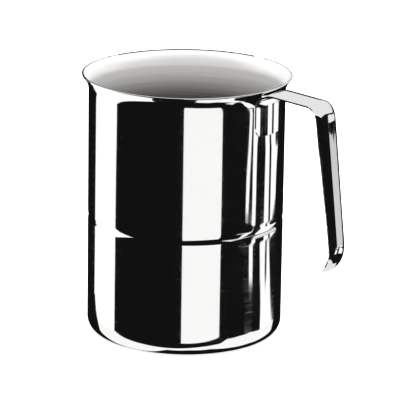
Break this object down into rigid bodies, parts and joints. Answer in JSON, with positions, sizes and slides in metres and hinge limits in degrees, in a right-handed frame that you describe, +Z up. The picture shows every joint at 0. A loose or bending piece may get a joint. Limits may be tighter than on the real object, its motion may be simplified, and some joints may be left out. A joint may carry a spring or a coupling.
{
  "type": "candle melting pot",
  "caption": "Deep cylindrical metal melting pot with a flared rim, rounded foot, fine level line and a bent strap handle welded under the rim.",
  "frame": {"origin": "centre of the flat underside, on the vessel's own axis", "axes": "+Z up along the vessel's axis, +X towards the handle, +Y completes a right-handed frame"},
  "size_m": [0.1483, 0.107, 0.1352],
  "materials": {
    "polished_steel": "mirror polished outside, satin brushed inside",
    "weld_steel": "matt, hidden between the handle and the wall"
  },
  "bodies": {
    "root": {"vessel": "polished_steel", "handle": "polished_steel", "weld_nugget_1": "weld_steel", "weld_nugget_2": "weld_steel", "weld_nugget_3": "weld_steel", "weld_nugget_4": "weld_steel"}
  },
  "joints": []
}
